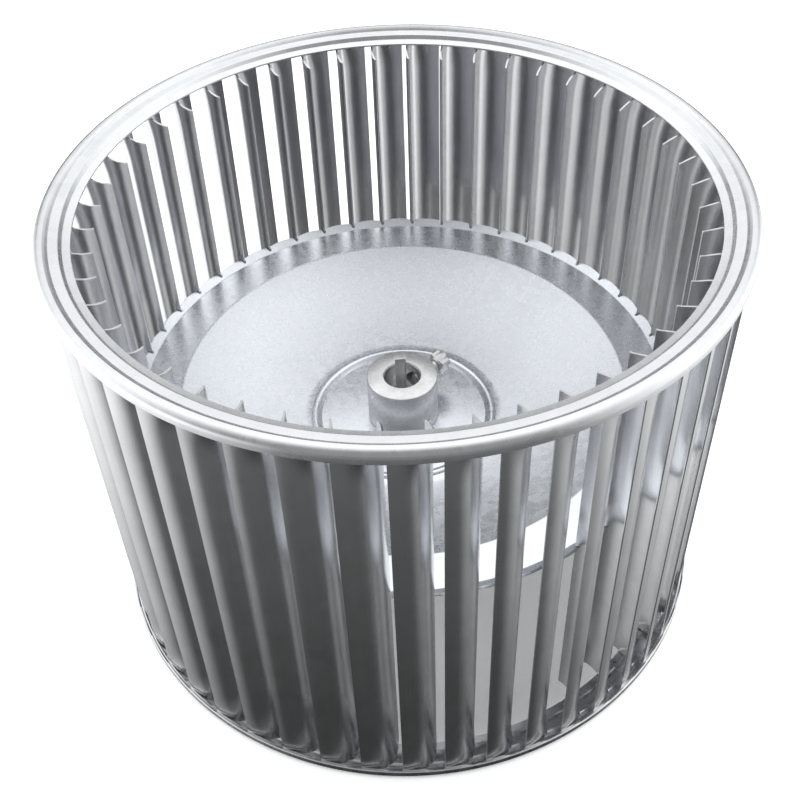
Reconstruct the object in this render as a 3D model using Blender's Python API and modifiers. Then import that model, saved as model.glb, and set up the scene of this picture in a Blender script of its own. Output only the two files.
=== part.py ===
"""Double-inlet blower wheel: two end rings, forward-curved blades, a dished centre disc and a keyed hub.

Metres, +Z along the wheel's axis, origin at the centre of the bottom ring's lower face.
"""

from math import cos, hypot, pi, radians, sin

import bmesh
import bpy
from mathutils import Matrix
from numpy import interp

# Whole wheel
RING_RADIUS = 0.1382
WHEEL_WIDTH = 0.2032
BLADE_COUNT = 48
GAP = 0.0003
MERGE_DISTANCE = 0.00001
SMOOTH_BELOW = radians(35)

# Sheet thicknesses
RING_SHEET = 0.0009
BLADE_SHEET = 0.0008
DISC_SHEET = 0.0012

# End rings: (radius, depth) from the lip out over a step and a groove to the bead, then a rounded rim
RING_PROFILE = (
    (0.1246, 0.0040),
    (0.1276, 0.0032),
    (0.1287, 0.0016),
    (0.1324, 0.0014),
    (0.1333, 0.0006),
    (0.1342, 0),
)
RIM_ROUNDING = 0.0028
RIM_ARC_STEPS = 4
SKIRT_HEIGHT = 0.0044
RING_STEPS = 72

# Blades: an arc from the inner edge to a tip that leans clockwise, seen from above
BLADE_INNER_RADIUS = 0.1172
BLADE_TIP_RADIUS = 0.1360
CHORD_LEAN = radians(37)
ARC_HALF_ANGLE = radians(62)
BLADE_ARC_STEPS = 6
FIRST_BLADE_ANGLE = radians(3.4)

# Blade ends: how deep in the wheel they stop at each radius, and how far they swell outwards near the rings
BLADE_END_RADII = (0.1190, 0.1240, 0.1276, 0.1298)
BLADE_END_DEPTHS = (0.0075, 0.0059, 0.0049, 0.0032)
SWELL = 0.0026
SWELL_SHAPE = 7
SWELL_ROWS = ((0.0095, 0.6), (0.0200, 0))

# Centre disc: a slotted rim that turns up between the blades, a flat annulus and a dish down to the pad
DISC_TOP = 0.1022
RIM_OUTER_RADIUS = 0.1190
RIM_BEND_RADIUS = 0.1152
RIM_RISE = 0.0024
ANNULUS_INNER_RADIUS = 0.0985
PAD_DEPTH = 0.0206
PAD_BEAD_OUTER_RADIUS = 0.0437
PAD_BEAD_RADIUS = 0.0020
PAD_BEAD_FOOT = radians(150)
PAD_BEAD_FOOT_LENGTH = 0.0010
PAD_BEAD_FOOT_RISE = 0.0005
PAD_BEAD_STEPS = 3
PAD_RADIUS = 0.0385
DISC_STEPS = 72
DISC_SMOOTH_BELOW = radians(25)
SLOT_CLEARANCE = 0.0004
SLOT_REACH = 0.0144

# Hub: a turned barrel on the pad, a neck through the disc and a head spun over below it
HUB_RADIUS = 0.015875
HUB_TOP = 0.1052
HUB_NECK_RADIUS = 0.0127
HUB_HEAD_RADIUS = 0.0165
HUB_HEAD_THICKNESS = 0.0024
HUB_CHAMFER = 0.0006
BORE_RADIUS = 0.0079375
KEYWAY_WIDTH = 0.00476
KEYWAY_DEPTH = 0.0024
KEYWAY_ANGLE = radians(4)
HUB_STEPS = 48

# Set screw: a square head on a relieved neck, threaded square to the bore
SCREW_ANGLE = radians(44)
SCREW_DROP = 0.0086
SCREW_RADIUS = 0.00395
SCREW_HOLE_RADIUS = 0.0043
SCREW_NECK_RADIUS = 0.0030
SCREW_HEAD_SIDE = 0.0079
SCREW_HEAD_HEIGHT = 0.0066
SCREW_HEAD_START = 0.0208
SCREW_THREAD_END = 0.0168
SCREW_TIP = 0.0083
SCREW_POINT_RADIUS = 0.0022
SCREW_POINT_LENGTH = 0.0012
SCREW_RELIEF = 0.0006
SCREW_HEAD_EDGE = 0.0006
SCREW_HEAD_EDGE_STEPS = 2
SCREW_HEAD_TURN = radians(12)
SCREW_STEPS = 24

# Colour and roughness of each metal
FINISHES = {
    "galvanised_ring": ((0.72, 0.74, 0.76), 0.32),
    "galvanised_blade": ((0.66, 0.68, 0.70), 0.38),
    "galvanised_disc": ((0.72, 0.74, 0.76), 0.36),
    "hub_zinc": ((0.78, 0.79, 0.80), 0.30),
    "screw_zinc": ((0.62, 0.62, 0.63), 0.35),
}


def clear_scene():
    for item in list(bpy.data.objects):
        bpy.data.objects.remove(item)


def make_collection(name):
    collection = bpy.data.collections.new(name)
    bpy.context.scene.collection.children.link(collection)
    return collection


def make_metal(name):
    colour, roughness = FINISHES[name]
    material = bpy.data.materials.new(name)
    material.use_nodes = True
    shader = material.node_tree.nodes["Principled BSDF"]
    shader.inputs["Base Color"].default_value = (*colour, 1)
    shader.inputs["Roughness"].default_value = roughness
    shader.inputs["Metallic"].default_value = 1
    return material


def make_object(name, mesh, collection, material=None):
    item = bpy.data.objects.new(name, mesh)
    collection.objects.link(item)
    if material:
        mesh.materials.clear()
        mesh.materials.append(material)
    return item


def mesh_of(name, form):
    mesh = bpy.data.meshes.new(name)
    form.normal_update()
    form.to_mesh(mesh)
    form.free()
    return mesh


def shade(mesh, angle=SMOOTH_BELOW):
    mesh.shade_smooth()
    mesh.set_sharp_from_angle(angle=angle)


def applied_mesh(item):
    """The object's mesh with its modifiers applied."""
    graph = bpy.context.evaluated_depsgraph_get()
    return bpy.data.meshes.new_from_object(item.evaluated_get(graph), depsgraph=graph)


def arc(centre, radius, start, end, steps):
    """Points of a round stretch in the plane of radius and height."""
    turn = (end - start) / steps
    return [
        (centre[0] + radius * cos(start + turn * i), centre[1] + radius * sin(start + turn * i))
        for i in range(steps + 1)
    ]


def turned_mesh(name, outline, steps, closed=True):
    """An outline of (radius, height) points turned about +Z. An open one starts and ends on the axis."""
    form = bmesh.new()
    corners = [form.verts.new((radius, 0, height)) for radius, height in outline]
    ends = corners[1:] + corners[:1] if closed else corners[1:]
    for first, second in zip(corners, ends):
        form.edges.new((first, second))
    item = bpy.data.objects.new(name, mesh_of(name, form))
    bpy.context.scene.collection.objects.link(item)
    turn = item.modifiers.new("Turn", "SCREW")
    turn.steps = steps
    turn.render_steps = steps
    turn.use_merge_vertices = True
    turn.merge_threshold = MERGE_DISTANCE
    mesh = applied_mesh(item)
    bpy.data.objects.remove(item)
    form = bmesh.new()
    form.from_mesh(mesh)
    bmesh.ops.recalc_face_normals(form, faces=form.faces)
    form.to_mesh(mesh)
    form.free()
    return mesh


def offset_outline(path, thickness):
    """A sheet's outline: the path itself, and back along it at the sheet's thickness below."""
    below = []
    for i, (radius, height) in enumerate(path):
        before = path[max(i - 1, 0)]
        after = path[min(i + 1, len(path) - 1)]
        step = (after[0] - before[0], after[1] - before[1])
        length = hypot(*step)
        below.append((radius + step[1] / length * thickness, height - step[0] / length * thickness))
    return path + below[::-1]


def ring_path():
    """The upper ring's outer surface, from its lip outwards over the bead and down the skirt."""
    path = [(radius, WHEEL_WIDTH - depth) for radius, depth in RING_PROFILE]
    centre = (RING_RADIUS - RIM_ROUNDING, WHEEL_WIDTH - RIM_ROUNDING)
    path += arc(centre, RIM_ROUNDING, pi / 2, 0, RIM_ARC_STEPS)
    path.append((RING_RADIUS, WHEEL_WIDTH - SKIRT_HEIGHT))
    return path


def end_ring_mesh(name, facing_up):
    outline = offset_outline(ring_path(), RING_SHEET)
    if not facing_up:
        outline = [(radius, WHEEL_WIDTH - height) for radius, height in outline]
    mesh = turned_mesh(name, outline, RING_STEPS)
    shade(mesh)
    return mesh


def blade_frame():
    """Centre, radius and start of the blade's arc in plan, for a blade whose inner edge lies on +X."""
    along = BLADE_INNER_RADIUS * cos(CHORD_LEAN)
    reach = along**2 + BLADE_TIP_RADIUS**2 - BLADE_INNER_RADIUS**2
    chord = reach**0.5 - along
    radius = chord / (2 * sin(ARC_HALF_ANGLE))
    middle_x = BLADE_INNER_RADIUS + chord / 2 * cos(CHORD_LEAN)
    middle_y = -chord / 2 * sin(CHORD_LEAN)
    offset = radius * cos(ARC_HALF_ANGLE)
    centre = (middle_x - offset * sin(CHORD_LEAN), middle_y - offset * cos(CHORD_LEAN))
    return centre, radius, pi / 2 - CHORD_LEAN + ARC_HALF_ANGLE


def blade_plan(thickness):
    """Plan outline of a blade, its middle line plus and minus half the sheet."""
    centre, radius, start = blade_frame()
    end = start - 2 * ARC_HALF_ANGLE
    outer = arc(centre, radius + thickness / 2, start, end, BLADE_ARC_STEPS)
    inner = arc(centre, radius - thickness / 2, start, end, BLADE_ARC_STEPS)
    return outer + inner[::-1]


def swollen(x, y, share):
    """The point moved outwards by its share of the swell, most between the blade's middle and its tip."""
    reach = (hypot(x, y) - BLADE_INNER_RADIUS) / (BLADE_TIP_RADIUS - BLADE_INNER_RADIUS)
    push = 1 + SWELL * share * max(0, SWELL_SHAPE * reach**2 * (1 - reach)) / hypot(x, y)
    return x * push, y * push


def end_depth(x, y):
    return float(interp(hypot(x, y), BLADE_END_RADII, BLADE_END_DEPTHS))


def lofted_mesh(name, sections):
    """A closed mesh through sections that have the same number of points."""
    form = bmesh.new()
    loops = [[form.verts.new(point) for point in section] for section in sections]
    for lower, upper in zip(loops, loops[1:]):
        for i in range(len(lower)):
            j = (i + 1) % len(lower)
            form.faces.new((lower[i], lower[j], upper[j], upper[i]))
    for loop in (loops[0][::-1], loops[-1]):
        half = len(loop) // 2
        for i in range(half - 1):
            form.faces.new((loop[i], loop[i + 1], loop[-2 - i], loop[-1 - i]))
    bmesh.ops.recalc_face_normals(form, faces=form.faces)
    return mesh_of(name, form)


def blade_mesh():
    """One blade: straight along the wheel, swelling outwards and cut to a slope at each end."""
    plan = blade_plan(BLADE_SHEET)
    flared = [swollen(x, y, 1) for x, y in plan]
    sections = [[(x, y, end_depth(x, y)) for x, y in flared]]
    for height, share in SWELL_ROWS:
        sections.append([(*swollen(x, y, share), height) for x, y in plan])
    sections += [[(x, y, WHEEL_WIDTH - height) for x, y, height in section] for section in sections[::-1]]
    mesh = lofted_mesh("blade", sections)
    shade(mesh)
    return mesh


def slot_cutters(collection):
    """One blade-shaped cutter for each slot in the disc's rim, as a single hidden object."""
    plan = blade_plan(BLADE_SHEET + 2 * SLOT_CLEARANCE)
    sections = [[(x, y, DISC_TOP + side * SLOT_REACH) for x, y in plan] for side in (-1, 1)]
    blank = lofted_mesh("slot_blank", sections)
    form = bmesh.new()
    for index in range(BLADE_COUNT):
        added = bmesh.new()
        added.from_mesh(blank)
        turn = blade_angle(index)
        # The cutter reaches a little inside the blade's edge, so that the edge itself is clear.
        for corner in added.verts:
            x = corner.co.x - SLOT_CLEARANCE
            y = corner.co.y
            corner.co.x = x * cos(turn) - y * sin(turn)
            corner.co.y = x * sin(turn) + y * cos(turn)
        piece = bpy.data.meshes.new("slot_piece")
        added.to_mesh(piece)
        added.free()
        form.from_mesh(piece)
        bpy.data.meshes.remove(piece)
    bpy.data.meshes.remove(blank)
    return make_cutter(mesh_of("rim_slots", form), collection)


def blade_angle(index):
    return FIRST_BLADE_ANGLE + 2 * pi * index / BLADE_COUNT


def make_cutter(mesh, collection):
    cutter = make_object(mesh.name, mesh, collection)
    cutter.hide_render = True
    cutter.display_type = "WIRE"
    return cutter


def cut(item, cutter):
    boolean = item.modifiers.new("Cut " + cutter.name, "BOOLEAN")
    boolean.operation = "DIFFERENCE"
    boolean.solver = "EXACT"
    boolean.object = cutter


def disc_path():
    """The disc's upper surface, from the hole at the hub out over pad, bead, dish and annulus to the rim."""
    pad_top = DISC_TOP - PAD_DEPTH
    bead_centre = (PAD_RADIUS + PAD_BEAD_RADIUS, pad_top)
    dish_foot = PAD_BEAD_OUTER_RADIUS + PAD_BEAD_RADIUS
    path = [(HUB_NECK_RADIUS + GAP, pad_top), (PAD_RADIUS - PAD_BEAD_FOOT_LENGTH, pad_top)]
    path += arc(bead_centre, PAD_BEAD_RADIUS, PAD_BEAD_FOOT, pi - PAD_BEAD_FOOT, PAD_BEAD_STEPS)
    path += [
        (dish_foot, pad_top + PAD_BEAD_FOOT_RISE),
        (ANNULUS_INNER_RADIUS, DISC_TOP),
        (RIM_BEND_RADIUS, DISC_TOP),
        (RIM_OUTER_RADIUS, DISC_TOP + RIM_RISE),
    ]
    return path


def build_disc(parts, cutters, material):
    mesh = turned_mesh("centre_disc", offset_outline(disc_path(), DISC_SHEET), DISC_STEPS)
    shade(mesh, DISC_SMOOTH_BELOW)
    disc = make_object("centre_disc", mesh, parts, material)
    cut(disc, slot_cutters(cutters))


def hub_outline():
    pad_top = DISC_TOP - PAD_DEPTH
    shoulder = pad_top + GAP
    head_top = pad_top - DISC_SHEET - GAP
    head_bottom = head_top - HUB_HEAD_THICKNESS
    return [
        (BORE_RADIUS, HUB_TOP - HUB_CHAMFER),
        (BORE_RADIUS + HUB_CHAMFER, HUB_TOP),
        (HUB_RADIUS - HUB_CHAMFER, HUB_TOP),
        (HUB_RADIUS, HUB_TOP - HUB_CHAMFER),
        (HUB_RADIUS, shoulder),
        (HUB_NECK_RADIUS, shoulder),
        (HUB_NECK_RADIUS, head_top),
        (HUB_HEAD_RADIUS, head_top),
        (HUB_HEAD_RADIUS - HUB_CHAMFER, head_bottom),
        (BORE_RADIUS, head_bottom),
    ]


def keyway_cutter(collection):
    """A square-cornered slot the length of the bore, turned a little from its +Y side."""
    depth = BORE_RADIUS + KEYWAY_DEPTH
    form = bmesh.new()
    bmesh.ops.create_cube(form, size=1)
    bmesh.ops.scale(form, vec=(KEYWAY_WIDTH, depth, WHEEL_WIDTH), verts=form.verts)
    bmesh.ops.translate(form, vec=(0, depth / 2, WHEEL_WIDTH / 2), verts=form.verts)
    bmesh.ops.rotate(form, verts=form.verts, matrix=Matrix.Rotation(KEYWAY_ANGLE, 3, "Z"))
    return make_cutter(mesh_of("keyway", form), collection)


def laid_along_x(mesh):
    """The mesh with its +Z turned to +X."""
    mesh.transform(Matrix.Rotation(pi / 2, 4, "Y"))
    return mesh


def place_on_screw_axis(item):
    item.location = (0, 0, HUB_TOP - SCREW_DROP)
    item.rotation_euler = (0, 0, SCREW_ANGLE)


def screw_hole_cutter(collection):
    outline = [(0, 0), (SCREW_HOLE_RADIUS, 0), (SCREW_HOLE_RADIUS, 2 * HUB_RADIUS), (0, 2 * HUB_RADIUS)]
    hole = make_cutter(laid_along_x(turned_mesh("screw_hole", outline, SCREW_STEPS, False)), collection)
    place_on_screw_axis(hole)
    return hole


def build_hub(parts, cutters, material):
    mesh = turned_mesh("hub", hub_outline(), HUB_STEPS)
    shade(mesh)
    hub = make_object("hub", mesh, parts, material)
    cut(hub, keyway_cutter(cutters))
    cut(hub, screw_hole_cutter(cutters))


def shank_mesh():
    """The screw's dog point, thread and relieved neck, which runs a little into the head."""
    outline = [
        (0, SCREW_TIP),
        (SCREW_POINT_RADIUS, SCREW_TIP),
        (SCREW_RADIUS, SCREW_TIP + SCREW_POINT_LENGTH),
        (SCREW_RADIUS, SCREW_THREAD_END),
        (SCREW_NECK_RADIUS, SCREW_THREAD_END + SCREW_RELIEF),
        (SCREW_NECK_RADIUS, SCREW_HEAD_START + SCREW_RELIEF),
        (0, SCREW_HEAD_START + SCREW_RELIEF),
    ]
    return laid_along_x(turned_mesh("screw_shank", outline, SCREW_STEPS, False))


def head_mesh():
    form = bmesh.new()
    bmesh.ops.create_cube(form, size=1)
    bmesh.ops.scale(form, vec=(SCREW_HEAD_HEIGHT, SCREW_HEAD_SIDE, SCREW_HEAD_SIDE), verts=form.verts)
    bevel = {"offset": SCREW_HEAD_EDGE, "segments": SCREW_HEAD_EDGE_STEPS, "affect": "EDGES"}
    bmesh.ops.bevel(form, geom=form.edges, **bevel)
    bmesh.ops.rotate(form, verts=form.verts, matrix=Matrix.Rotation(SCREW_HEAD_TURN, 3, "X"))
    middle = SCREW_HEAD_START + SCREW_HEAD_HEIGHT / 2
    bmesh.ops.translate(form, vec=(middle, 0, 0), verts=form.verts)
    return mesh_of("set_screw", form)


def build_set_screw(parts, material):
    """The screw's origin is on the hub's axis, so it slides along its own +X."""
    screw = make_object("set_screw", head_mesh(), parts, material)
    shank = make_object("screw_shank", shank_mesh(), parts)
    union = screw.modifiers.new("Shank", "BOOLEAN")
    union.operation = "UNION"
    union.solver = "EXACT"
    union.object = shank
    mesh = applied_mesh(screw)
    screw.modifiers.clear()
    screw.data = mesh
    shade(mesh)
    bpy.data.objects.remove(shank)
    place_on_screw_axis(screw)


def build_blades(parts, material):
    mesh = blade_mesh()
    for index in range(BLADE_COUNT):
        blade = make_object(f"blade_{index + 1:02d}", mesh, parts, material)
        blade.rotation_euler = (0, 0, blade_angle(index))


def main():
    clear_scene()
    parts = make_collection("blower_motor_wheel")
    cutters = make_collection("cutters")
    metals = {name: make_metal(name) for name in FINISHES}
    make_object("top_ring", end_ring_mesh("top_ring", True), parts, metals["galvanised_ring"])
    make_object("bottom_ring", end_ring_mesh("bottom_ring", False), parts, metals["galvanised_ring"])
    build_blades(parts, metals["galvanised_blade"])
    build_disc(parts, cutters, metals["galvanised_disc"])
    build_hub(parts, cutters, metals["hub_zinc"])
    build_set_screw(parts, metals["screw_zinc"])


main()
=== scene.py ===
"""Looks of the double-inlet blower wheel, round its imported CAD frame. Metres, +Z along the axis."""

from math import acos, cos, hypot, pi, radians, sin, tan

import bmesh
import bpy
from mathutils import Matrix, Vector
from numpy import interp


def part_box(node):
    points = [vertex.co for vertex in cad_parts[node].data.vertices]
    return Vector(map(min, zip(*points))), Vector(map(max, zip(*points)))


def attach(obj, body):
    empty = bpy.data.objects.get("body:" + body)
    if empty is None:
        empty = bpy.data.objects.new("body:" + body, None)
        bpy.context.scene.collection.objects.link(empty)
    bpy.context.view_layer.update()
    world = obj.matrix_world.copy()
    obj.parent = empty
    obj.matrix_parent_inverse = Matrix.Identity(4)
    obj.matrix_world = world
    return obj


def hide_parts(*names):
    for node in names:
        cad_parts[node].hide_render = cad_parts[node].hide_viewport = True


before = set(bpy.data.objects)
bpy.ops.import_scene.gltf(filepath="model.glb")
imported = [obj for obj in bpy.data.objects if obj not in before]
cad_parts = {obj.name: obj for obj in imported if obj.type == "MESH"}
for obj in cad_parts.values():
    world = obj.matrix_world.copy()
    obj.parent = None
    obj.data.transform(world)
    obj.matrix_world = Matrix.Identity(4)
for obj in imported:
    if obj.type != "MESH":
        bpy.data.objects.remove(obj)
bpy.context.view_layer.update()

# Sizes read from the frame
RING_LOW, RING_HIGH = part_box("top_ring")
RING_RADIUS = RING_HIGH.x
WHEEL_WIDTH = RING_HIGH.z
SKIRT_HEIGHT = RING_HIGH.z - RING_LOW.z
DISC_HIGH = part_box("centre_disc")[1]
HUB_LOW, HUB_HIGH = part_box("hub")
HUB_TOP = HUB_HIGH.z
HUB_BOTTOM = HUB_LOW.z
HUB_HEAD_RADIUS = HUB_HIGH.x

# Sheet thicknesses and the clearance between pieces
RING_SHEET = 0.0009
BLADE_SHEET = 0.0008
DISC_SHEET = 0.0012
GAP = 0.0003

# How far cut edges bulge: a bent sheet's as a share of its thickness, a blade's of half its thickness
SHEET_EDGE_BULGE = 0.25
BLADE_EDGE_BULGE = 0.6

# Edges sharper than this are shaded as corners
SHEET_CORNER = radians(35)
BLADE_CORNER = radians(40)
STAKE_CORNER = radians(60)
HUB_CORNER = radians(25)
SCREW_CORNER = radians(28)

ROUNDING_STEPS = 6

# End rings: (radius, depth, rounding) from the lip out over a step and a groove to the bead
RING_PROFILE = (
    (0.1246, 0.0040, 0),
    (0.1276, 0.0032, 0.0006),
    (0.1287, 0.0016, 0.0007),
    (0.1324, 0.0014, 0.0005),
    (0.1333, 0.0006, 0.0006),
    (0.1342, 0, 0.0006),
    (0.1352, 0, 0),
)
RIM_ROUNDING = 0.0028
RIM_ARC_STEPS = 10
RING_STEPS = 240

# Blade strip
BLADE_COUNT = 48
BLADE_INNER_RADIUS = 0.1172
BLADE_TIP_RADIUS = 0.1360
CHORD_LEAN = radians(37)
ARC_HALF_ANGLE = radians(62)
FIRST_BLADE_ANGLE = radians(3.4)
BLADE_ARC_STEPS = 16

# Shares of the wheel's width where a blade has its plain section, away from the swell at its ends
PLAIN_SHARES = (0.25, 0.5, 0.75)

# Blade ends: how deep in the wheel they stop at each radius, and how far they swell outwards near the
# rings. SWELL_SHAPE brings the largest share of the swell over a blade's width to about 1.
BLADE_END_RADII = (0.1190, 0.1240, 0.1276, 0.1298)
BLADE_END_DEPTHS = (0.0075, 0.0059, 0.0049, 0.0032)
SWELL = 0.0026
SWELL_DEPTH = 0.0200
SWELL_SHAPE = 7
SWELL_STEPS = 10

# Borders of the blade strip, hidden in the end rings
BORDER_RADIUS = 0.1367
BORDER_SHEET = 0.0006
BORDER_TOP_DEPTH = 0.0012
BORDER_FOOT_DEPTH = 0.0042

# Centre disc
RIM_RISE = 0.0024
RIM_BEND_RADIUS = 0.1152
RIM_OUTER_RADIUS = 0.1190
ANNULUS_INNER_RADIUS = 0.0985
PAD_DEPTH = 0.0206
PAD_RADIUS = 0.0385
PAD_BEAD_OUTER_RADIUS = 0.0437
PAD_BEAD_RADIUS = 0.0020
PAD_BEAD_ARC = (radians(150), radians(30))
PAD_BEAD_STEPS = 10
PAD_MIDDLE_SHARE = 0.7
DISH_ROUNDING = 0.0030
RIM_BEND_ROUNDING = 0.0010
DISC_TOP = DISC_HIGH.z - RIM_RISE
PAD_TOP = DISC_TOP - PAD_DEPTH
DISC_STEPS = 288
SLOT_CLEARANCE = 0.0004
SLOT_REACH = 4 * RIM_RISE
SCALLOP_DEPTH = 0.0008

# Stakes against the hub's foot: (height, width, reach) of each section
STAKE_COUNT = 4
FIRST_STAKE_DEGREES = 45
STAKE_GAP = 0.0001
STAKE_SECTIONS = (
    (0, 0.0036, 0.0022),
    (0.0030, 0.0032, 0.0013),
    (0.0052, 0.0024, 0.0007),
)

# Hub and its bore. HUB_KNEE is how far the middle of a rounded corner lies from the faces that it joins
HUB_RADIUS = 0.015875
HUB_NECK_RADIUS = 0.0127
HUB_HEAD_THICKNESS = 0.0024
HUB_CHAMFER = 0.0006
HUB_KNEE = 0.3 * HUB_CHAMFER
HUB_HEAD_WAIST = 0.6 * HUB_HEAD_THICKNESS
HUB_HEAD_CHAMFER = 2 * HUB_CHAMFER
BORE_RADIUS = 0.0079375
KEYWAY_WIDTH = 0.00476
KEYWAY_DEPTH = 0.0024
KEYWAY_ANGLE = radians(4)
HUB_STEPS = 128

# Set screw
SCREW_ANGLE = radians(44)
SCREW_HEIGHT = HUB_TOP - 0.0086
SCREW_RADIUS = 0.00395
SCREW_HOLE_RADIUS = 0.0043
SCREW_HOLE_MOUTH_RADIUS = 0.0056
SCREW_HOLE_MOUTH_DEPTH = 0.0008
SCREW_HOLE_STEPS = 48
SCREW_NECK_RADIUS = 0.0030
SCREW_HEAD_SIDE = 0.0079
SCREW_HEAD_HEIGHT = 0.0066
SCREW_HEAD_FOOT_RADIUS = 0.46 * SCREW_HEAD_SIDE
SCREW_HEAD_CORNER_RADIUS = 0.68 * SCREW_HEAD_SIDE
SCREW_HEAD_EDGE_RADIUS = 0.5 * SCREW_HEAD_SIDE
SCREW_HEAD_END_RADIUS = 0.44 * SCREW_HEAD_SIDE
SCREW_HEAD_FOOT_HEIGHT = 0.0009
SCREW_HEAD_CROWN_HEIGHT = 0.0012
SCREW_HEAD_EDGE_HEIGHT = 0.0002
SCREW_HEAD_START = 0.0208
SCREW_THREAD_END = 0.0168
SCREW_NECK_TAPER = 0.0006
SCREW_NECK_GAP = 0.0001
SCREW_TIP = 0.0083
SCREW_POINT_RADIUS = 0.0022
SCREW_POINT_LENGTH = 0.0012
SCREW_HEAD_TURN = radians(12)
THREAD_PITCH = 0.0014
THREAD_DEPTH = 0.0007
THREAD_LEAD = 1.05 * THREAD_PITCH
THREAD_ROWS = 48
SCREW_STEPS = 96


# ---------------------------------------------------------------- outlines

def arc(centre, radius, start, end, steps):
    turn = (end - start) / steps
    return [
        Vector((centre[0] + radius * cos(start + turn * i), centre[1] + radius * sin(start + turn * i)))
        for i in range(steps + 1)
    ]


def rounded_path(corners):
    """Points through (radius, height, rounding) corners, each rounding as an arc between its tangents."""
    path = []
    for i, (radius, height, rounding) in enumerate(corners):
        corner = Vector((radius, height))
        if rounding == 0:
            path.append(corner)
            continue
        back = (Vector(corners[i - 1][:2]) - corner).normalized()
        ahead = (Vector(corners[i + 1][:2]) - corner).normalized()
        half = acos(max(-1, min(1, back.dot(ahead)))) / 2
        centre = corner + (back + ahead).normalized() * (rounding / sin(half))
        start = corner + back * (rounding / tan(half)) - centre
        end = corner + ahead * (rounding / tan(half)) - centre
        swing = start.angle_signed(end)
        for k in range(ROUNDING_STEPS + 1):
            spoke = start.copy()
            spoke.rotate(Matrix.Rotation(-swing * k / ROUNDING_STEPS, 2))
            path.append(centre + spoke)
    return path


def sheet_outline(path, thickness):
    """A bent sheet's closed outline: the path, its offset below, and a bulging edge at each end."""
    below = []
    last = len(path) - 1
    for i, point in enumerate(path):
        step = (path[min(i + 1, last)] - path[max(i - 1, 0)]).normalized()
        below.append(point + Vector((step.y, -step.x)) * thickness)
    outline = []
    for upper, lower in ((path, below), (below[::-1], path[::-1])):
        edge = (upper[-1] + lower[-1]) / 2
        out = (upper[-1] - upper[-2]).normalized() * thickness * SHEET_EDGE_BULGE
        outline += [*upper, edge + out]
    return outline


# ---------------------------------------------------------------- meshes

def mesh_of(name, form, corner=SHEET_CORNER):
    bmesh.ops.recalc_face_normals(form, faces=form.faces)
    mesh = bpy.data.meshes.new(name)
    form.to_mesh(mesh)
    form.free()
    mesh.shade_smooth()
    mesh.set_sharp_from_angle(angle=corner)
    return mesh


def turn_outline(form, outline, steps, warp=None):
    """Adds a closed (radius, height) outline turned about +Z. warp moves a point by its angle."""
    rings = []
    for i in range(steps):
        turn = 2 * pi * i / steps
        ring = []
        for radius, height in outline:
            if warp:
                radius, height = warp(radius, height, turn)
            ring.append(form.verts.new((radius * cos(turn), radius * sin(turn), height)))
        rings.append(ring)
    count = len(outline)
    for i, ring in enumerate(rings):
        following = rings[(i + 1) % steps]
        for j in range(count):
            k = (j + 1) % count
            form.faces.new((ring[j], ring[k], following[k], following[j]))


def loft(form, sections):
    """Adds a closed body through 3-D sections of equal length, each end closed with one face."""
    loops = [[form.verts.new(point) for point in section] for section in sections]
    for lower, upper in zip(loops, loops[1:]):
        for i in range(len(lower)):
            j = (i + 1) % len(lower)
            form.faces.new((lower[i], lower[j], upper[j], upper[i]))
    for loop in (loops[0][::-1], loops[-1]):
        form.faces.new(loop)


def add_piece(name, mesh, material, body, slot, *nodes):
    piece = bpy.data.objects.new(name, mesh)
    bpy.context.scene.collection.objects.link(piece)
    mesh.materials.append(material)
    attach(piece, body)
    if nodes:
        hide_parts(*nodes)
    return piece


def make_cutter(name, form):
    bmesh.ops.recalc_face_normals(form, faces=form.faces)
    mesh = bpy.data.meshes.new(name)
    form.to_mesh(mesh)
    form.free()
    cutter = bpy.data.objects.new(name, mesh)
    bpy.context.scene.collection.objects.link(cutter)
    return cutter


def cut(mesh, *cutters):
    """The mesh with the cutters taken out of it. The cutters are removed afterwards."""
    item = bpy.data.objects.new(mesh.name, mesh)
    bpy.context.scene.collection.objects.link(item)
    for cutter in cutters:
        boolean = item.modifiers.new(cutter.name, "BOOLEAN")
        boolean.operation = "DIFFERENCE"
        boolean.solver = "EXACT"
        boolean.object = cutter
    graph = bpy.context.evaluated_depsgraph_get()
    result = bpy.data.meshes.new_from_object(item.evaluated_get(graph), depsgraph=graph)
    bpy.data.objects.remove(item)
    for cutter in cutters:
        bpy.data.objects.remove(cutter)
    return result


# ---------------------------------------------------------------- end rings

def ring_outline():
    path = rounded_path([
        (radius, WHEEL_WIDTH - depth, rounding)
        for radius, depth, rounding in RING_PROFILE
    ])
    centre = (RING_RADIUS - RIM_ROUNDING, WHEEL_WIDTH - RIM_ROUNDING)
    path += arc(centre, RIM_ROUNDING, pi / 2, 0, RIM_ARC_STEPS)
    path.append(Vector((RING_RADIUS, WHEEL_WIDTH - SKIRT_HEIGHT)))
    return sheet_outline(path, RING_SHEET)


def build_ring(name, facing_up, material):
    outline = ring_outline()
    if not facing_up:
        outline = [Vector((radius, WHEEL_WIDTH - height)) for radius, height in outline]
    form = bmesh.new()
    turn_outline(form, outline, RING_STEPS)
    node = name.removesuffix("_channel")
    add_piece(name, mesh_of(name, form), material, "wheel", "galvanised_ring", node)


# ---------------------------------------------------------------- blade strip

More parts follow.
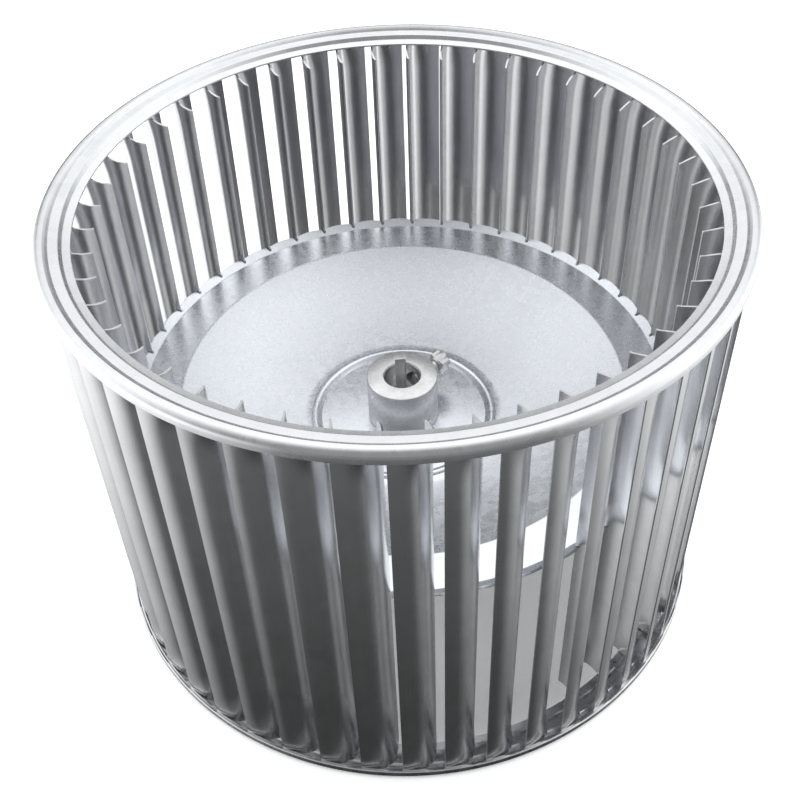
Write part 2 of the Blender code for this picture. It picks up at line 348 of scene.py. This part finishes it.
def blade_frame():
    """Centre, radius and start of the blade's arc in plan, for a blade whose inner edge lies on +X."""
    along = BLADE_INNER_RADIUS * cos(CHORD_LEAN)
    chord = (along**2 + BLADE_TIP_RADIUS**2 - BLADE_INNER_RADIUS**2) ** 0.5 - along
    radius = chord / (2 * sin(ARC_HALF_ANGLE))
    middle = Vector((BLADE_INNER_RADIUS + chord / 2 * cos(CHORD_LEAN), -chord / 2 * sin(CHORD_LEAN)))
    centre = middle - radius * cos(ARC_HALF_ANGLE) * Vector((sin(CHORD_LEAN), cos(CHORD_LEAN)))
    return centre, radius, pi / 2 - CHORD_LEAN + ARC_HALF_ANGLE


def blade_plan(thickness):
    """Plan outline of a blade, its middle line plus and minus half the sheet, with rounded edges."""
    centre, radius, start = blade_frame()
    end = start - 2 * ARC_HALF_ANGLE
    half = thickness / 2
    outer = arc(centre, radius + half, start, end, BLADE_ARC_STEPS)
    inner = arc(centre, radius - half, end, start, BLADE_ARC_STEPS)
    tip = (outer[-1] + inner[0]) / 2 + (outer[-1] - outer[-2]).normalized() * half * BLADE_EDGE_BULGE
    edge = (outer[0] + inner[-1]) / 2 + (outer[0] - outer[1]).normalized() * half * BLADE_EDGE_BULGE
    return outer + [tip] + inner + [edge]


def swollen(x, y, share):
    """The point moved outwards by its share of the swell, most between the blade's middle and its tip."""
    reach = (hypot(x, y) - BLADE_INNER_RADIUS) / (BLADE_TIP_RADIUS - BLADE_INNER_RADIUS)
    push = 1 + SWELL * share * max(0, SWELL_SHAPE * reach**2 * (1 - reach)) / hypot(x, y)
    return x * push, y * push


def end_depth(x, y):
    return float(interp(hypot(x, y), BLADE_END_RADII, BLADE_END_DEPTHS))


def blade_angle(index):
    return FIRST_BLADE_ANGLE + 2 * pi * index / BLADE_COUNT


def blade_sections():
    """Sections along one blade whose inner edge lies on +X, from its lower end to its upper one."""
    plan = blade_plan(BLADE_SHEET)
    lower = []
    for i in range(SWELL_STEPS + 1):
        share = i / SWELL_STEPS
        section = []
        for x, y in plan:
            swell_x, swell_y = swollen(x, y, (1 - share) ** 2)
            depth = end_depth(*swollen(x, y, 1))
            section.append(Vector((swell_x, swell_y, depth + (SWELL_DEPTH - depth) * share)))
        lower.append(section)
    middle = [[Vector((x, y, WHEEL_WIDTH * share)) for x, y in plan] for share in PLAIN_SHARES]
    upper = [[Vector((x, y, WHEEL_WIDTH - depth)) for x, y, depth in section] for section in lower[::-1]]
    return lower + middle + upper


def build_strip(material):
    sections = blade_sections()
    form = bmesh.new()
    for index in range(BLADE_COUNT):
        turn = Matrix.Rotation(blade_angle(index), 3, "Z")
        loft(form, [[turn @ point for point in section] for section in sections])
    inner, outer = BORDER_RADIUS - BORDER_SHEET / 2, BORDER_RADIUS + BORDER_SHEET / 2
    for top, foot in (
        (WHEEL_WIDTH - BORDER_TOP_DEPTH, WHEEL_WIDTH - BORDER_FOOT_DEPTH),
        (BORDER_FOOT_DEPTH, BORDER_TOP_DEPTH),
    ):
        turn_outline(form, [(inner, foot), (outer, foot), (outer, top), (inner, top)], RING_STEPS)
    nodes = [f"blade_{index + 1:02d}" for index in range(BLADE_COUNT)]
    mesh = mesh_of("blade_strip", form, BLADE_CORNER)
    add_piece("blade_strip", mesh, material, "wheel", "galvanised_blade", *nodes)


# ---------------------------------------------------------------- centre disc

def disc_outline():
    bead_centre = (PAD_RADIUS + PAD_BEAD_RADIUS, PAD_TOP)
    path = rounded_path([
        (HUB_NECK_RADIUS + GAP, PAD_TOP, 0),
        (PAD_RADIUS * PAD_MIDDLE_SHARE, PAD_TOP, 0),
        (PAD_RADIUS - PAD_BEAD_RADIUS / 2, PAD_TOP, 0),
    ])
    path += arc(bead_centre, PAD_BEAD_RADIUS, *PAD_BEAD_ARC, PAD_BEAD_STEPS)
    path += rounded_path([
        (PAD_BEAD_OUTER_RADIUS + PAD_BEAD_RADIUS, PAD_TOP + PAD_BEAD_RADIUS / 4, 0),
        (ANNULUS_INNER_RADIUS, DISC_TOP, DISH_ROUNDING),
        (RIM_BEND_RADIUS, DISC_TOP, RIM_BEND_ROUNDING),
        (RIM_OUTER_RADIUS, DISC_TOP + RIM_RISE, 0),
    ])
    return sheet_outline(path, DISC_SHEET)


def slot_cutter():
    """Blade-shaped cutters through the disc's rim, one for each blade, in one body."""
    plan = blade_plan(BLADE_SHEET + 2 * SLOT_CLEARANCE)
    form = bmesh.new()
    for index in range(BLADE_COUNT):
        turn = Matrix.Rotation(blade_angle(index), 3, "Z")
        loft(form, [
            [turn @ Vector((x - SLOT_CLEARANCE, y, DISC_TOP + side * SLOT_REACH)) for x, y in plan]
            for side in (-1, 1)
        ])
    return make_cutter("rim_slots", form)


def scallop(radius, height, turn):
    """Draws the rim's edge in next to each slot, so that every tab has rounded corners."""
    if radius <= RIM_BEND_RADIUS:
        return radius, height
    share = (radius - RIM_BEND_RADIUS) / (RIM_OUTER_RADIUS - RIM_BEND_RADIUS)
    phase = (turn - blade_angle(0)) * BLADE_COUNT / (2 * pi)
    beside = abs(phase - round(phase)) * 2
    drawn = share * SCALLOP_DEPTH * (1 - beside) ** 2
    return radius - drawn, height - drawn * RIM_RISE / (RIM_OUTER_RADIUS - RIM_BEND_RADIUS)


def build_disc(material):
    form = bmesh.new()
    turn_outline(form, disc_outline(), DISC_STEPS, scallop)
    mesh = cut(mesh_of("centre_disc_plate", form), slot_cutter())
    mesh.set_sharp_from_angle(angle=SHEET_CORNER)
    add_piece("centre_disc_plate", mesh, material, "wheel", "galvanised_disc", "centre_disc")


def build_stakes(material):
    """Lugs raised from the disc against the hub's foot."""
    near = HUB_RADIUS + STAKE_GAP
    form = bmesh.new()
    for index in range(STAKE_COUNT):
        turn = Matrix.Rotation(radians(FIRST_STAKE_DEGREES + 360 / STAKE_COUNT * index), 3, "Z")
        sections = []
        for height, width, reach in STAKE_SECTIONS:
            sections.append([
                turn @ Vector((near, -width / 2, PAD_TOP + height)),
                turn @ Vector((near + reach, -width / 3, PAD_TOP + height)),
                turn @ Vector((near + reach, width / 3, PAD_TOP + height)),
                turn @ Vector((near, width / 2, PAD_TOP + height)),
            ])
        loft(form, sections)
    mesh = mesh_of("hub_stakes", form, STAKE_CORNER)
    add_piece("hub_stakes", mesh, material, "wheel", "galvanised_disc")


# ---------------------------------------------------------------- hub and set screw

def hub_outline():
    shoulder = PAD_TOP + GAP
    head_top = PAD_TOP - DISC_SHEET - GAP
    return [Vector(point) for point in (
        (BORE_RADIUS, HUB_TOP - HUB_CHAMFER),
        (BORE_RADIUS + HUB_CHAMFER, HUB_TOP),
        (HUB_RADIUS - HUB_CHAMFER, HUB_TOP),
        (HUB_RADIUS - HUB_KNEE, HUB_TOP - HUB_KNEE),
        (HUB_RADIUS, HUB_TOP - HUB_CHAMFER),
        (HUB_RADIUS, shoulder),
        (HUB_NECK_RADIUS, shoulder),
        (HUB_NECK_RADIUS, head_top),
        (HUB_HEAD_RADIUS, head_top),
        (HUB_HEAD_RADIUS - HUB_KNEE, head_top - HUB_HEAD_WAIST),
        (HUB_HEAD_RADIUS - HUB_HEAD_CHAMFER, HUB_BOTTOM),
        (BORE_RADIUS + HUB_CHAMFER, HUB_BOTTOM),
        (BORE_RADIUS, HUB_BOTTOM + HUB_CHAMFER),
    )]


def keyway_cutter():
    """A block from the axis to the keyway's floor, through the whole width."""
    depth = BORE_RADIUS + KEYWAY_DEPTH
    form = bmesh.new()
    bmesh.ops.create_cube(form, size=1)
    bmesh.ops.scale(form, vec=(KEYWAY_WIDTH, depth, WHEEL_WIDTH), verts=form.verts)
    bmesh.ops.translate(form, vec=(0, depth / 2, WHEEL_WIDTH / 2), verts=form.verts)
    bmesh.ops.rotate(form, verts=form.verts, matrix=Matrix.Rotation(KEYWAY_ANGLE, 3, "Z"))
    return make_cutter("keyway", form)


def on_screw_axis():
    """Takes +X to the set screw's axis, at its height in the hub."""
    return Matrix.Translation((0, 0, SCREW_HEIGHT)) @ Matrix.Rotation(SCREW_ANGLE, 4, "Z")


def round_rows(form, rows, steps, shape):
    """Adds a closed body along +X through (place, radius) rows. shape gives a row's points by angle."""
    loft(form, [
        [Vector((place, *shape(place, radius, 2 * pi * i / steps))) for i in range(steps)]
        for place, radius in rows
    ])


def circle_shape(place, radius, turn):
    return radius * cos(turn), radius * sin(turn)


def screw_hole_cutter():
    hole = [(0, SCREW_HOLE_RADIUS), (2 * HUB_RADIUS, SCREW_HOLE_RADIUS)]
    mouth = [
        (HUB_RADIUS - SCREW_HOLE_MOUTH_DEPTH, SCREW_HOLE_RADIUS),
        (HUB_RADIUS + SCREW_HOLE_MOUTH_DEPTH, SCREW_HOLE_MOUTH_RADIUS),
    ]
    form = bmesh.new()
    round_rows(form, hole, SCREW_HOLE_STEPS, circle_shape)
    round_rows(form, mouth, SCREW_HOLE_STEPS, circle_shape)
    cutter = make_cutter("screw_hole", form)
    cutter.matrix_world = on_screw_axis()
    return cutter


def build_hub(material):
    form = bmesh.new()
    turn_outline(form, hub_outline(), HUB_STEPS)
    mesh = cut(mesh_of("hub_barrel", form, HUB_CORNER), keyway_cutter(), screw_hole_cutter())
    mesh.set_sharp_from_angle(angle=HUB_CORNER)
    add_piece("hub_barrel", mesh, material, "wheel", "hub_zinc", "hub")


def screw_shape(place, radius, turn):
    """The screw's section: a square with cut corners in the head, a thread on the shank, else round."""
    if place >= SCREW_HEAD_START:
        aim = turn - SCREW_HEAD_TURN
        flat = SCREW_HEAD_SIDE / 2 / max(abs(cos(aim)), abs(sin(aim)))
        radius = min(radius, flat)
    elif radius > SCREW_NECK_RADIUS and place > SCREW_TIP + THREAD_PITCH:
        phase = place / THREAD_PITCH - turn / (2 * pi)
        radius -= THREAD_DEPTH * abs(2 * (phase % 1) - 1)
    return radius * cos(turn), radius * sin(turn)


def build_set_screw(material):
    end = SCREW_HEAD_START + SCREW_HEAD_HEIGHT
    thread_start = SCREW_TIP + THREAD_LEAD
    thread_length = SCREW_THREAD_END - thread_start
    rows = [
        (SCREW_TIP, SCREW_POINT_RADIUS),
        (SCREW_TIP + SCREW_POINT_LENGTH, SCREW_RADIUS - THREAD_DEPTH),
    ]
    for i in range(THREAD_ROWS + 1):
        rows.append((thread_start + thread_length * i / THREAD_ROWS, SCREW_RADIUS))
    rows += [
        (SCREW_THREAD_END + SCREW_NECK_TAPER, SCREW_NECK_RADIUS),
        (SCREW_HEAD_START - SCREW_NECK_GAP, SCREW_NECK_RADIUS),
        (SCREW_HEAD_START, SCREW_HEAD_FOOT_RADIUS),
        (SCREW_HEAD_START + SCREW_HEAD_FOOT_HEIGHT, SCREW_HEAD_CORNER_RADIUS),
        (end - SCREW_HEAD_CROWN_HEIGHT, SCREW_HEAD_CORNER_RADIUS),
        (end - SCREW_HEAD_EDGE_HEIGHT, SCREW_HEAD_EDGE_RADIUS),
        (end, SCREW_HEAD_END_RADIUS),
    ]
    form = bmesh.new()
    round_rows(form, rows, SCREW_STEPS, screw_shape)
    mesh = mesh_of("set_screw_body", form, SCREW_CORNER)
    mesh.transform(on_screw_axis())
    add_piece("set_screw_body", mesh, material, "screw", "screw_zinc", "set_screw")


# ---------------------------------------------------------------- materials

# Galvanised sheet. Scales are a noise's cells per metre, RANGE is the (low, high) of what a map spreads.
WARP_SCALE = 110
WARP_REACH = 0.0020
FINE_SCALE = 420
CLOUD_SCALE = 26
STREAK_TONE = 0.30
SHEET_TONE_RANGE = (0.40, 0.95)
CRYSTAL_ROUGHNESS = 0.5
FINE_ROUGHNESS = 0.5
STREAK_ROUGHNESS = 0.35
SHEET_ROUGHNESS_RANGE = (0.25, 1.10)
CLOUD_HEIGHT = 0.8
FINE_HEIGHT = 0.04
SHEET_BUMP = {"Strength": 0.12, "Distance": 0.0002}

# Light and dark colour, roughness, streak scale, spangle size, contrast and dullness of each sheet
RING_FINISH = ((0.90, 0.91, 0.92), (0.78, 0.79, 0.81), 0.26, (60, 60, 60), 0.0035, 0.25, 0.06)
BLADE_FINISH = ((0.84, 0.84, 0.85), (0.70, 0.70, 0.71), 0.24, (420, 420, 9), 0.0060, 0.08, 0.02)
DISC_FINISH = ((0.93, 0.96, 1.00), (0.83, 0.86, 0.91), 0.26, (40, 380, 40), 0.0026, 0.40, 0.08)

# Turned steel
TOOL_MARK_SCALE = (0, 0, 2600)
FACE_RING_SCALE = 700
FACE_RING_DISTORTION = 1.5
STAIN_SCALE = 160
SCUFF_SCALE = 900
STAIN_TONE = 0.7
TOOL_MARK_TONE = 0.3
STEEL_RANGE = (0.3, 0.7)
SCUFF_ROUGHNESS = (-0.06, 0.10)
FACE_RING_HEIGHT = 0.4
TOOL_MARK_HEIGHT = 0.6
STEEL_BUMP = {"Strength": 0.15, "Distance": 0.0001}

# Light and dark colour and roughness of each steel
HUB_FINISH = ((0.86, 0.86, 0.87), (0.62, 0.62, 0.63), 0.30)
SCREW_FINISH = ((0.80, 0.80, 0.81), (0.50, 0.50, 0.51), 0.32)


class Nodes:
    """Small helper round one material's node tree."""

    def __init__(self, name):
        self.material = bpy.data.materials.new(name)
        self.material.use_nodes = True
        self.tree = self.material.node_tree
        self.shader = self.tree.nodes["Principled BSDF"]
        self.place = self.tree.nodes.new("ShaderNodeTexCoord").outputs["Object"]

    def add(self, kind, inputs=None, **settings):
        node = self.tree.nodes.new(kind)
        for key, value in settings.items():
            setattr(node, key, value)
        for key, value in (inputs or {}).items():
            if isinstance(value, bpy.types.NodeSocket):
                self.tree.links.new(value, node.inputs[key])
            else:
                node.inputs[key].default_value = value
        return node

    def link(self, output, key):
        self.tree.links.new(output, self.shader.inputs[key])

    def stretched(self, scale):
        return self.add("ShaderNodeMapping", {"Vector": self.place, "Scale": scale}).outputs["Vector"]

    def noise(self, vector, scale, detail, roughness):
        inputs = {"Vector": vector, "Scale": scale, "Detail": detail, "Roughness": roughness}
        return self.add("ShaderNodeTexNoise", inputs).outputs["Fac"]

    def ranged(self, value, low, high, to_low, to_high):
        inputs = {"Value": value, "From Min": low, "From Max": high, "To Min": to_low, "To Max": to_high}
        return self.add("ShaderNodeMapRange", inputs).outputs["Result"]

    def math(self, operation, first, second):
        return self.add("ShaderNodeMath", {0: first, 1: second}, operation=operation).outputs[0]

    def weighted(self, first, first_weight, second, second_weight):
        first_part = self.math("MULTIPLY", first, first_weight)
        return self.math("ADD", first_part, self.math("MULTIPLY", second, second_weight))

    def blend(self, factor, first, second):
        node = self.add("ShaderNodeMix", {"Factor": factor}, data_type="RGBA")
        for index, value in ((6, first), (7, second)):
            if isinstance(value, bpy.types.NodeSocket):
                self.tree.links.new(value, node.inputs[index])
            else:
                node.inputs[index].default_value = (*value, 1)
        return node.outputs[2]

    def finish_metal(self, height, bump):
        self.shader.inputs["Metallic"].default_value = 1
        self.link(self.add("ShaderNodeBump", {**bump, "Height": height}).outputs["Normal"], "Normal")


def galvanised(name, light, dark, roughness, streak_scale, spangle_size, contrast, dullness):
    """Zinc-coated sheet: crystal spangle, cloudy patches and fine streaks along the rolling direction."""
    nodes = Nodes(name)
    bends = {"Vector": nodes.place, "Scale": WARP_SCALE, "Detail": 0}
    bend = nodes.add("ShaderNodeTexNoise", bends).outputs["Color"]
    warp = {0: bend, 1: (WARP_REACH,) * 3, 2: nodes.place}
    warped = nodes.add("ShaderNodeVectorMath", warp, operation="MULTIPLY_ADD").outputs[0]
    spangle = nodes.add("ShaderNodeTexVoronoi", {"Vector": warped, "Scale": 1 / spangle_size})
    crystal = nodes.add("ShaderNodeSeparateColor", {"Color": spangle.outputs["Color"]}).outputs[0]
    fine = nodes.noise(nodes.place, FINE_SCALE, detail=4, roughness=0.6)
    clouds = nodes.noise(nodes.place, CLOUD_SCALE, detail=4, roughness=0.55)
    streaks = nodes.noise(nodes.stretched(streak_scale), scale=1, detail=4, roughness=0.6)
    tone = nodes.weighted(crystal, contrast, clouds, 1 - contrast)
    tone = nodes.math("ADD", tone, nodes.math("MULTIPLY", streaks, STREAK_TONE))
    tone = nodes.ranged(tone, *SHEET_TONE_RANGE, 0, 1)
    nodes.link(nodes.blend(tone, dark, light), "Base Color")
    rough = nodes.weighted(crystal, CRYSTAL_ROUGHNESS, fine, FINE_ROUGHNESS)
    rough = nodes.math("ADD", rough, nodes.math("MULTIPLY", streaks, STREAK_ROUGHNESS))
    smoothest, dullest = roughness - dullness / 2, roughness + dullness
    nodes.link(nodes.ranged(rough, *SHEET_ROUGHNESS_RANGE, smoothest, dullest), "Roughness")
    nodes.finish_metal(nodes.weighted(clouds, CLOUD_HEIGHT, fine, FINE_HEIGHT), SHEET_BUMP)
    return nodes.material


def turned_steel(name, light, dark, roughness):
    """Zinc-plated turned steel: fine rings from the tool, faint stains and scuffs."""
    nodes = Nodes(name)
    rings = nodes.noise(nodes.stretched(TOOL_MARK_SCALE), scale=1, detail=2, roughness=0.5)
    face = {"Vector": nodes.place, "Scale": FACE_RING_SCALE, "Distortion": FACE_RING_DISTORTION}
    radial = nodes.add("ShaderNodeTexWave", face, wave_type="RINGS", rings_direction="Z").outputs["Fac"]
    stains = nodes.noise(nodes.place, STAIN_SCALE, detail=4, roughness=0.6)
    scuffs = nodes.noise(nodes.place, SCUFF_SCALE, detail=3, roughness=0.7)
    tone = nodes.weighted(stains, STAIN_TONE, rings, TOOL_MARK_TONE)
    nodes.link(nodes.blend(nodes.ranged(tone, *STEEL_RANGE, 0, 1), dark, light), "Base Color")
    smoothest, dullest = (roughness + change for change in SCUFF_ROUGHNESS)
    nodes.link(nodes.ranged(scuffs, *STEEL_RANGE, smoothest, dullest), "Roughness")
    nodes.finish_metal(nodes.weighted(radial, FACE_RING_HEIGHT, rings, TOOL_MARK_HEIGHT), STEEL_BUMP)
    return nodes.material


# ---------------------------------------------------------------- stage

# The studio's light by direction, above and below its horizon. SIDES, RIGHT and BACK weigh how far a
# direction points that way, WALL is where dark turns to white, and LEVELS says how bright each is.
SIDES_ABOVE = 0.60
RIGHT_ABOVE = 0.12
WALL_ABOVE = (-0.25, 0.50)
LEVELS_ABOVE = (0.30, 1.30)
SIDES_BELOW = 1
WALL_BELOW = (0.22, 1.0)
BACK_BELOW = 0.45
RIGHT_BELOW = -0.15
LEVELS_BELOW = (0.22, 1.70)

# The dark straight below, and the glow at the back right from low down up to the horizon
UNDER = (-0.88, -0.60)
UNDER_SHADE = 0.12
GLOW_RIGHT = 0.8
GLOW_WALL = (0.20, 0.80)
GLOW_LEVEL = 1.3
GLOW_RISE = (-0.75, -0.50)

# HORIZON is where below blends into above. The back has a shade round it that fades out at the sides
# and at the front.
HORIZON = (-0.15, 0.15)
HORIZON_SHADE = 0.12
HORIZON_WIDTH = 0.8
HORIZON_SIDES = (0.50, 0.85)
HORIZON_FRONT = (0.30, 0)
STUDIO_WHITE = (0.98, 0.99, 1.0)

FLOOR_HEIGHT = -0.0005
FLOOR_SIZE = 20
FLOOR_CELLS = 8
FLOOR_COLOUR = (0.92, 0.92, 0.92)
FLOOR_ROUGHNESS = 0.9
FLOOR_GLOW = 0.22

LAMP_PLACE = (0, 0.2, 2.0)
LAMP_SIZE = 3
LAMP_POWER = 60

CAMERA_DISTANCE = 0.5901
CAMERA_ELEVATION = 0.88777
CAMERA_PITCH = 0.77970
CAMERA_YAW = -0.00373
CAMERA_ROLL = -0.03989
CAMERA_LENS = 51.76
CAMERA_SENSOR = 36
CAMERA_CLIP = 0.01


def build_camera():
    data = bpy.data.cameras.new("camera")
    data.sensor_width = CAMERA_SENSOR
    data.lens = CAMERA_LENS
    data.clip_start = CAMERA_CLIP
    camera = bpy.data.objects.new("camera", data)
    bpy.context.scene.collection.objects.link(camera)
    place = Vector((0, -cos(CAMERA_ELEVATION), sin(CAMERA_ELEVATION))) * CAMERA_DISTANCE
    flat = cos(CAMERA_PITCH)
    forward = Vector((sin(CAMERA_YAW) * flat, cos(CAMERA_YAW) * flat, -sin(CAMERA_PITCH)))
    right = forward.cross(Vector((0, 0, 1))).normalized()
    up = right.cross(forward)
    side = right * cos(CAMERA_ROLL) + up * sin(CAMERA_ROLL)
    above = up * cos(CAMERA_ROLL) - right * sin(CAMERA_ROLL)
    turn = Matrix((side, above, -forward)).transposed().to_4x4()
    camera.matrix_world = Matrix.Translation(place) @ turn
    bpy.context.scene.camera = camera


def build_floor():
    form = bmesh.new()
    bmesh.ops.create_grid(form, x_segments=FLOOR_CELLS, y_segments=FLOOR_CELLS, size=FLOOR_SIZE)
    mesh = bpy.data.meshes.new("floor")
    form.to_mesh(mesh)
    form.free()
    floor = bpy.data.objects.new("floor", mesh)
    bpy.context.scene.collection.objects.link(floor)
    floor.location.z = FLOOR_HEIGHT
    material = bpy.data.materials.new("floor_white")
    material.use_nodes = True
    shader = material.node_tree.nodes["Principled BSDF"]
    shader.inputs["Base Color"].default_value = (*FLOOR_COLOUR, 1)
    shader.inputs["Roughness"].default_value = FLOOR_ROUGHNESS
    shader.inputs["Specular IOR Level"].default_value = 0
    shader.inputs["Emission Color"].default_value = (1, 1, 1, 1)
    shader.inputs["Emission Strength"].default_value = FLOOR_GLOW
    mesh.materials.append(material)
    floor.visible_glossy = False


def build_lamp():
    data = bpy.data.lights.new("top_light", "AREA")
    data.shape = "RECTANGLE"
    data.size = LAMP_SIZE
    data.size_y = LAMP_SIZE
    data.energy = LAMP_POWER
    lamp = bpy.data.objects.new("top_light", data)
    bpy.context.scene.collection.objects.link(lamp)
    lamp.location = LAMP_PLACE
    aim = Vector((0, 0, WHEEL_WIDTH / 2)) - Vector(LAMP_PLACE)
    lamp.rotation_mode = "QUATERNION"
    lamp.rotation_quaternion = aim.to_track_quat("-Z", "Y")
    lamp.visible_glossy = False


def build_world():
    """A studio with white walls behind and beside the wheel, and a dark side round the camera."""
    world = bpy.data.worlds.new("studio")
    world.use_nodes = True
    bpy.context.scene.world = world
    tree = world.node_tree

    def add(kind, operation, *values):
        node = tree.nodes.new(kind)
        if operation:
            node.operation = operation
        for index, value in enumerate(values):
            if isinstance(value, bpy.types.NodeSocket):
                tree.links.new(value, node.inputs[index])
            else:
                node.inputs[index].default_value = value
        return node

    place = tree.nodes.new("ShaderNodeTexCoord").outputs["Generated"]
    x, y, z = add("ShaderNodeSeparateXYZ", None, place).outputs

    def scaled(value, weight):
        return add("ShaderNodeMath", "MULTIPLY", value, weight).outputs[0]

    def total(first, second):
        return add("ShaderNodeMath", "ADD", first, second).outputs[0]

    side = add("ShaderNodeMath", "ABSOLUTE", x).outputs[0]
    wall = total(y, total(scaled(side, SIDES_ABOVE), scaled(x, RIGHT_ABOVE)))
    above = add("ShaderNodeMapRange", None, wall, *WALL_ABOVE, *LEVELS_ABOVE)
    wall = total(scaled(y, BACK_BELOW), total(scaled(side, SIDES_BELOW), scaled(x, RIGHT_BELOW)))
    below = add("ShaderNodeMapRange", None, wall, *WALL_BELOW, *LEVELS_BELOW)
    under = add("ShaderNodeMapRange", None, z, *UNDER, UNDER_SHADE, 1)
    glow = add("ShaderNodeMapRange", None, total(y, scaled(x, GLOW_RIGHT)), *GLOW_WALL, 0, GLOW_LEVEL)
    near = add("ShaderNodeMapRange", None, z, *GLOW_RISE, 0, 1)
    glow = scaled(glow.outputs[0], near.outputs[0])
    below = add("ShaderNodeMath", "MAXIMUM", scaled(below.outputs[0], under.outputs[0]), glow)
    height = add("ShaderNodeMapRange", None, z, *HORIZON, 0, 1)
    rise = add("ShaderNodeMath", "ABSOLUTE", z).outputs[0]
    shade = add("ShaderNodeMapRange", None, rise, 0, HORIZON_WIDTH, HORIZON_SHADE, 1)
    beside = add("ShaderNodeMapRange", None, side, *HORIZON_SIDES, 0, 1)
    before = add("ShaderNodeMapRange", None, y, *HORIZON_FRONT, 0, 1)
    lit_round = add("ShaderNodeMath", "MAXIMUM", beside.outputs[0], before.outputs[0])
    shade_back = add("ShaderNodeMath", "MAXIMUM", shade.outputs[0], lit_round.outputs[0])
    for node in (height, shade, beside):
        node.interpolation_type = "SMOOTHSTEP"
    level = tree.nodes.new("ShaderNodeMix")
    tree.links.new(height.outputs[0], level.inputs[0])
    tree.links.new(below.outputs[0], level.inputs[2])
    tree.links.new(above.outputs[0], level.inputs[3])
    strength = add("ShaderNodeMath", "MULTIPLY", level.outputs[0], shade_back.outputs[0])
    tree.links.new(strength.outputs[0], tree.nodes["Background"].inputs["Strength"])
    tree.nodes["Background"].inputs["Color"].default_value = (*STUDIO_WHITE, 1)


def main():
    build_camera()
    ring_steel = galvanised("galvanised_ring", *RING_FINISH)
    blade_steel = galvanised("galvanised_blade", *BLADE_FINISH)
    disc_steel = galvanised("galvanised_disc", *DISC_FINISH)
    hub_steel = turned_steel("hub_zinc", *HUB_FINISH)
    screw_steel = turned_steel("screw_zinc", *SCREW_FINISH)
    build_ring("top_ring_channel", True, ring_steel)
    build_ring("bottom_ring_channel", False, ring_steel)
    build_strip(blade_steel)
    build_disc(disc_steel)
    build_stakes(disc_steel)
    build_hub(hub_steel)
    build_set_screw(screw_steel)
    build_floor()
    build_world()
    build_lamp()
    bpy.context.scene.view_settings.view_transform = "Standard"


main()
